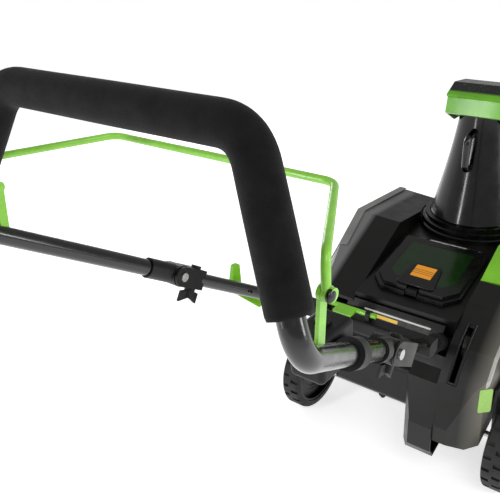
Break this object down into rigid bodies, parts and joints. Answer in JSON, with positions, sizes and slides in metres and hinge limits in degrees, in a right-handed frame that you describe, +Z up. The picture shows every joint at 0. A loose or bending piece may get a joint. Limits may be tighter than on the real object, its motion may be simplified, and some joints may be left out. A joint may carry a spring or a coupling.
{
  "type": "battery snow thrower",
  "caption": "Wheeled single-stage battery snow thrower: rubber auger in a wide housing, turning chute with tipping hood, folding tube handle with bail, lift-up battery lid.",
  "frame": {"origin": "on the ground under the middle of the machine's bounding box", "axes": "+Z up, -Y the way the auger mouth faces, +Y towards the operator, +X the operator's left"},
  "size_m": [0.5312, 1.2044, 0.934],
  "materials": {
    "body_black": "satin moulded",
    "gloss_black": "gloss",
    "green": "satin gloss",
    "green_metal": "powder coat",
    "gray": "satin",
    "silver": "satin",
    "black_metal": "gloss powder coat",
    "foam": "matt foam",
    "tyre": "matt",
    "paddle": "matt",
    "smoke": "smoked clear",
    "orange": "printed film",
    "yellow": "printed film",
    "steel": "zinc plated",
    "aluminium": "cast",
    "battery": "textured",
    "rotor": "machined",
    "brass": "plain",
    "belt": "matt"
  },
  "bodies": {
    "chassis": {"auger_bearings": "steel", "auger_housing": "body_black", "axle": "steel", "axle_brackets": "black_metal", "battery_tray": "body_black", "belt_back_plate": "steel", "belt_cover": "body_black", "chute_ring": "body_black", "control_box": "body_black", "cover_rim": "silver", "deck": "body_black", "drive_belt": "belt", "fold_forks": "body_black", "fold_pins": "steel", "handle_bridge": "body_black", "label_strip": "yellow", "left_pod": "gray", "left_trim": "silver", "lid_hinge_pin": "steel", "lower_body": "body_black", "lower_tubes": "black_metal", "motor_can": "steel", "motor_cover": "gray", "rear_panel": "gray", "right_pod": "green", "scraper_bar": "body_black", "scraper_screws": "steel", "terminal_block": "brass", "tube_sockets": "body_black"},
    "wheel_left": {"wheel_hub_left": "body_black", "tyre_left": "tyre"},
    "wheel_right": {"wheel_hub_right": "body_black", "tyre_right": "tyre"},
    "auger": {"auger_shaft": "steel", "auger_paddles": "paddle", "auger_pulley": "aluminium"},
    "rotor": {"motor_rotor": "rotor", "motor_pulley": "steel"},
    "chute": {"chute_tube": "gloss_black", "chute_handle": "gloss_black"},
    "deflector": {"deflector_hood": "green", "deflector_cap": "gloss_black", "deflector_bolts": "steel"},
    "lid": {"battery_lid": "body_black", "lid_window": "smoke", "lid_label": "orange"},
    "latch": {"lid_latch": "green"},
    "battery": {"battery_pack": "battery"},
    "battery_release": {"battery_button": "green"},
    "upper_handle": {"handle_loop": "black_metal", "foam_grip": "foam", "fold_knuckles": "body_black", "switch_box": "body_black", "bail_brackets": "green_metal"},
    "bail": {"bail": "green_metal"},
    "start": {"start_button": "green"},
    "left_knob": {"knob_left": "body_black"},
    "right_knob": {"knob_right": "body_black"},
    "lock_bar": {"lock_bar": "green_metal"},
    "cam_lever": {"cam_lever": "green"}
  },
  "joints": [
    {"name": "left_wheel_turn", "type": "hinge", "parent": "chassis", "child": "wheel_left", "pos_m": [0.236, -0.14917, 0.099], "axis": [1, 0, 0], "continuous": true},
    {"name": "right_wheel_turn", "type": "hinge", "parent": "chassis", "child": "wheel_right", "pos_m": [-0.236, -0.14917, 0.099], "axis": [1, 0, 0], "continuous": true},
    {"name": "auger_turn", "type": "hinge", "parent": "chassis", "child": "auger", "pos_m": [0, -0.44917, 0.16], "axis": [1, 0, 0], "continuous": true},
    {"name": "motor_turn", "type": "hinge", "parent": "chassis", "child": "rotor", "pos_m": [0, -0.17917, 0.275], "axis": [1, 0, 0], "continuous": true},
    {"name": "chute_turn", "type": "hinge", "parent": "chassis", "child": "chute", "pos_m": [0, -0.48117, 0.42], "axis": [0, 0, 1], "range_deg": [-95, 95]},
    {"name": "deflector_tip", "type": "hinge", "parent": "chute", "child": "deflector", "pos_m": [0, -0.48117, 0.662], "axis": [1, 0, 0], "range_deg": [-5, 40]},
    {"name": "lid_open", "type": "hinge", "parent": "chassis", "child": "lid", "pos_m": [0, -0.33517, 0.40415], "axis": [1, 0, 0], "range_deg": [0, 80]},
    {"name": "latch_press", "type": "slide", "parent": "lid", "child": "latch", "axis": [0, -1, 0], "range_m": [0, 0.004], "stiffness_N_per_m": 300, "springref_m": -0.002},
    {"name": "battery_rise", "type": "slide", "parent": "chassis", "child": "battery", "axis": [0, 0, 1], "range_m": [0, 0.004]},
    {"name": "battery_button_press", "type": "slide", "parent": "battery", "child": "battery_release", "axis": [0, 0, -1], "range_m": [0, 0.003], "stiffness_N_per_m": 300, "springref_m": -0.001},
    {"name": "handle_fold", "type": "hinge", "parent": "chassis", "child": "upper_handle", "pos_m": [0, 0.31093, 0.57137], "axis": [1, 0, 0], "range_deg": [0, 95]},
    {"name": "bail_pull", "type": "hinge", "parent": "upper_handle", "child": "bail", "pos_m": [0, 0.53683, 0.78], "axis": [-1, 0, 0], "range_deg": [0, 30], "stiffness_Nm_per_rad": 1.2, "springref_deg": -28.65},
    {"name": "start_press", "type": "slide", "parent": "upper_handle", "child": "start", "axis": [0, 0, -1], "range_m": [0, 0.003], "stiffness_N_per_m": 400, "springref_m": -0.002},
    {"name": "left_knob_turn", "type": "hinge", "parent": "chassis", "child": "left_knob", "pos_m": [0.17743, 0.27929, 0.5516], "axis": [0, 0.5299, -0.8481], "continuous": true},
    {"name": "right_knob_turn", "type": "hinge", "parent": "chassis", "child": "right_knob", "pos_m": [-0.17743, 0.27929, 0.5516], "axis": [0, 0.5299, -0.8481], "continuous": true},
    {"name": "lock_bar_turn", "type": "hinge", "parent": "chassis", "child": "lock_bar", "pos_m": [0, 0.05452, 0.43316], "axis": [1, 0, 0], "range_deg": [0, 35]},
    {"name": "cam_lever_turn", "type": "hinge", "parent": "chassis", "child": "cam_lever", "pos_m": [0.14008, 0.17996, 0.48953], "axis": [1, 0, 0], "range_deg": [0, 100]}
  ],
  "couplings": [
    {"joint": "motor_turn", "follows": "auger_turn", "ratio": 4.1111}
  ]
}
